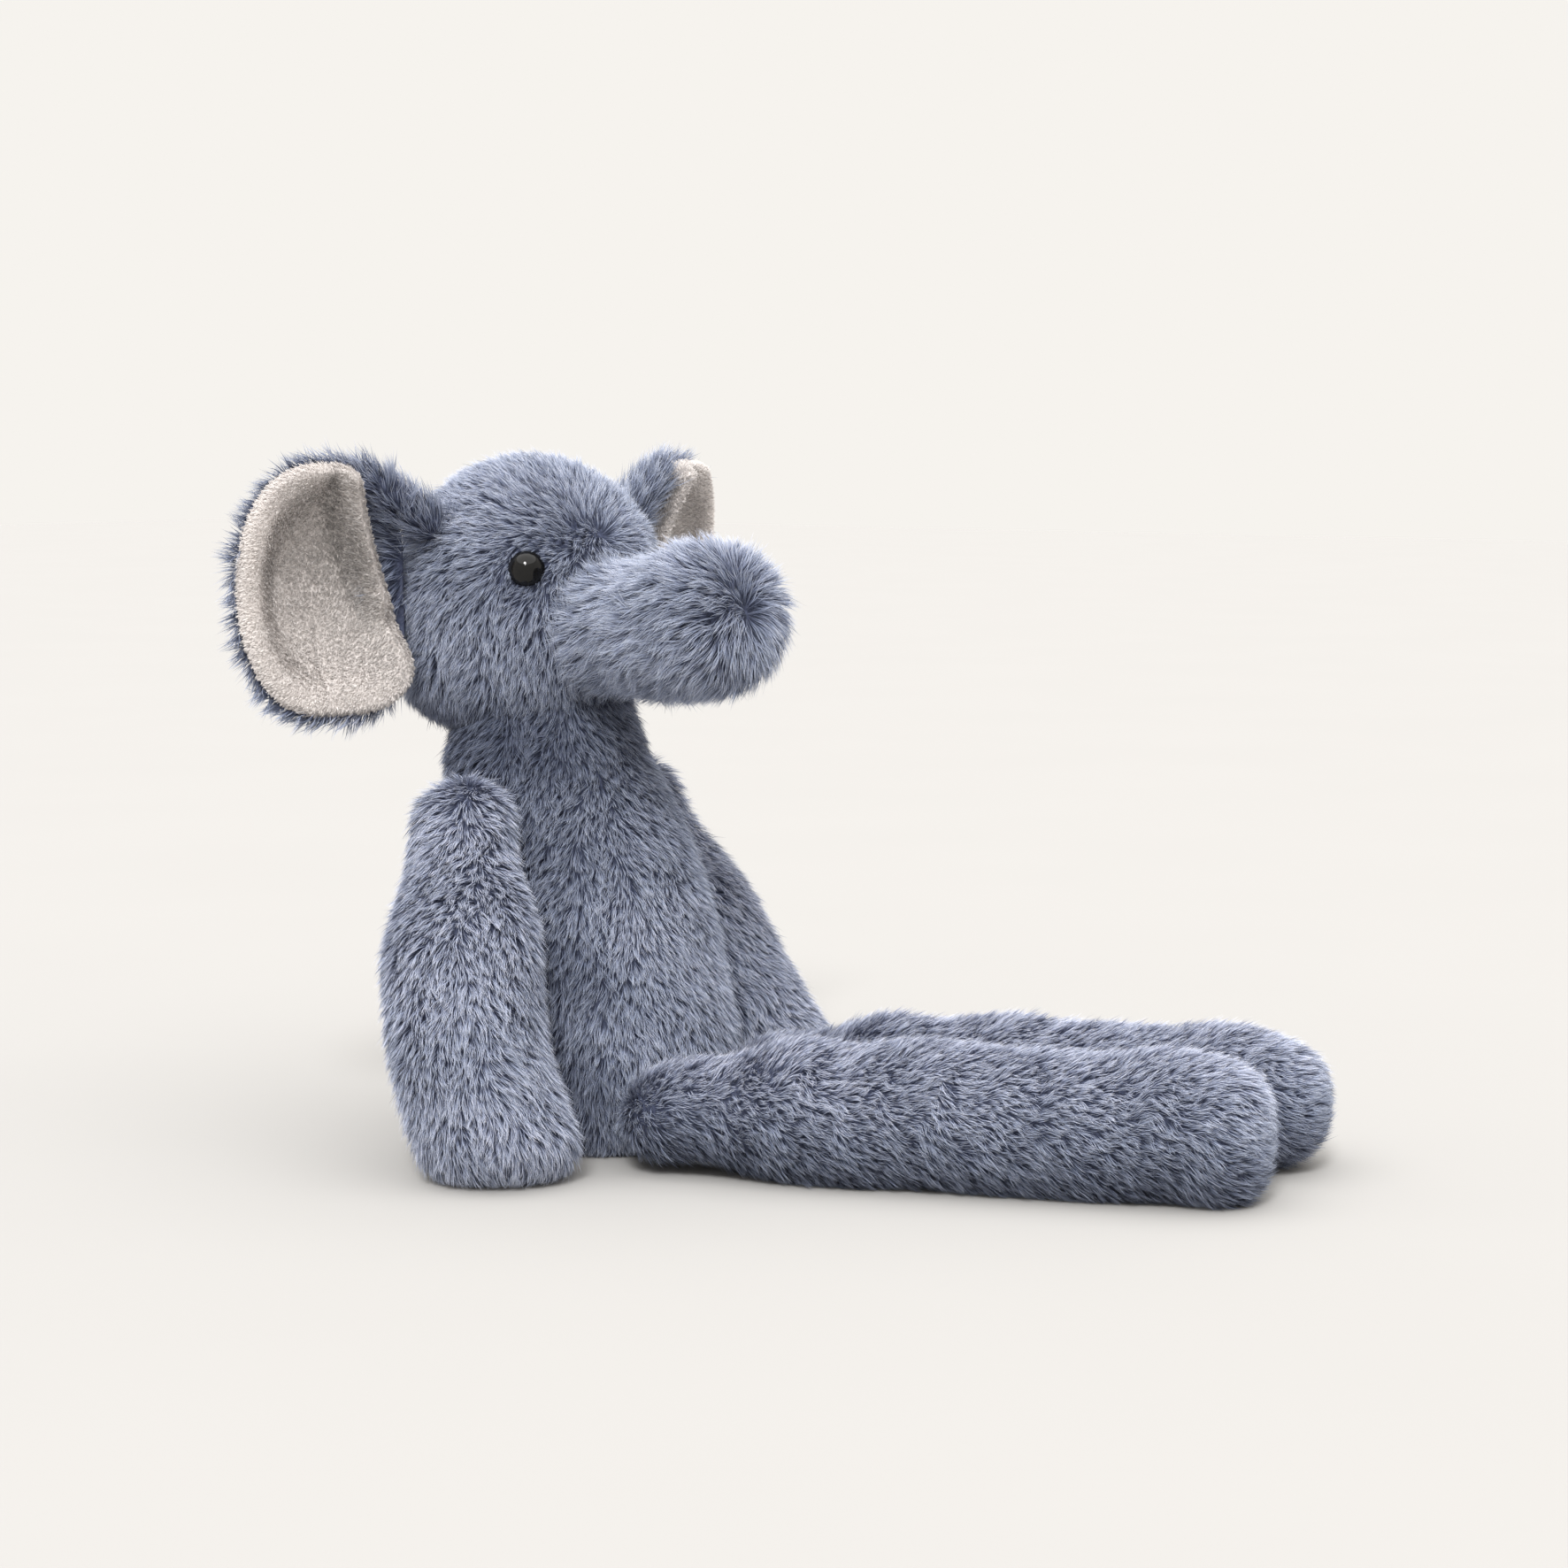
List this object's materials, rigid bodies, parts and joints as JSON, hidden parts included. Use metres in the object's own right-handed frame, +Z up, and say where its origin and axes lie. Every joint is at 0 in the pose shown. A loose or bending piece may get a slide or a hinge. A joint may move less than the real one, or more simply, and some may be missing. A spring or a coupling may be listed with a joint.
{
  "type": "stuffed elephant",
  "caption": "Sitting stuffed elephant in long blue-grey fur, with velour-lined ears, a short trunk, hanging arms and long legs stretched out in front.",
  "frame": {"origin": "centre of the torso's seat on the surface that it sits on", "axes": "the elephant sits facing -Y, its left side is +X, and +Z is up"},
  "size_m": [0.2254, 0.3239, 0.2375],
  "materials": {
    "fur": "matte",
    "lining": "matte",
    "stuffing": "matte",
    "pouch_cloth": "matte",
    "pellets": "matte",
    "thread": "matte",
    "eye": "gloss",
    "eye_washer": "matte"
  },
  "bodies": {
    "torso": {"torso_shell": "fur", "torso_stuffing": "stuffing", "seat_pouch": "pouch_cloth", "seat_pellets": "pellets"},
    "neck": {"neck_seam": "thread"},
    "head": {"head_shell": "fur", "head_stuffing": "stuffing", "right_eye": "eye", "right_eye_washer": "eye_washer", "left_eye": "eye", "left_eye_washer": "eye_washer"},
    "trunk": {"trunk_shell": "fur", "trunk_stuffing": "stuffing"},
    "right_ear": {"right_ear_back": "fur", "right_ear_lining": "lining"},
    "left_ear": {"left_ear_back": "fur", "left_ear_lining": "lining"},
    "right_arm": {"right_arm_shell": "fur", "right_arm_stuffing": "stuffing"},
    "left_arm": {"left_arm_shell": "fur", "left_arm_stuffing": "stuffing"},
    "right_leg": {"right_leg_shell": "fur", "right_leg_stuffing": "stuffing"},
    "left_leg": {"left_leg_shell": "fur", "left_leg_stuffing": "stuffing"},
    "tail": {"tail": "fur"}
  },
  "joints": [
    {"name": "head_turn", "type": "hinge", "parent": "torso", "child": "neck", "pos_m": [0, 0.0335, 0.139], "axis": [0, 0, 1], "range_deg": [-35, 35], "stiffness_Nm_per_rad": 0.3},
    {"name": "head_nod", "type": "hinge", "parent": "neck", "child": "head", "pos_m": [0, 0.0335, 0.139], "axis": [0.9799, -0.1994, 0], "range_deg": [-20, 20], "stiffness_Nm_per_rad": 0.4},
    {"name": "trunk_bend", "type": "hinge", "parent": "head", "child": "trunk", "pos_m": [-0.00708, -0.00129, 0.1795], "axis": [-0.9799, 0.1994, 0], "range_deg": [-12, 12], "stiffness_Nm_per_rad": 0.12},
    {"name": "right_ear_flap", "type": "hinge", "parent": "head", "child": "right_ear", "pos_m": [-0.04562, 0.05758, 0.1925], "axis": [0, 0, 1], "range_deg": [-30, 35], "stiffness_Nm_per_rad": 0.03},
    {"name": "left_ear_flap", "type": "hinge", "parent": "head", "child": "left_ear", "pos_m": [0.0514, 0.03784, 0.1925], "axis": [0, 0, -1], "range_deg": [-30, 35], "stiffness_Nm_per_rad": 0.03},
    {"name": "right_arm_swing", "type": "hinge", "parent": "torso", "child": "right_arm", "pos_m": [-0.05, 0.027, 0.113], "axis": [1, 0, 0], "range_deg": [-80, 25]},
    {"name": "left_arm_swing", "type": "hinge", "parent": "torso", "child": "left_arm", "pos_m": [0.05, 0.027, 0.113], "axis": [1, 0, 0], "range_deg": [-80, 25]},
    {"name": "right_leg_lift", "type": "hinge", "parent": "torso", "child": "right_leg", "pos_m": [-0.0277, -0.047, 0.022], "axis": [-0.9239, -0.3827, 0], "range_deg": [-12, 36]},
    {"name": "left_leg_lift", "type": "hinge", "parent": "torso", "child": "left_leg", "pos_m": [0.0277, -0.047, 0.022], "axis": [-0.9239, -0.3827, 0], "range_deg": [-12, 36]},
    {"name": "tail_wag", "type": "hinge", "parent": "torso", "child": "tail", "pos_m": [0, 0.0555, 0.036], "axis": [0, 0, 1], "range_deg": [-30, 30], "stiffness_Nm_per_rad": 0.004}
  ]
}
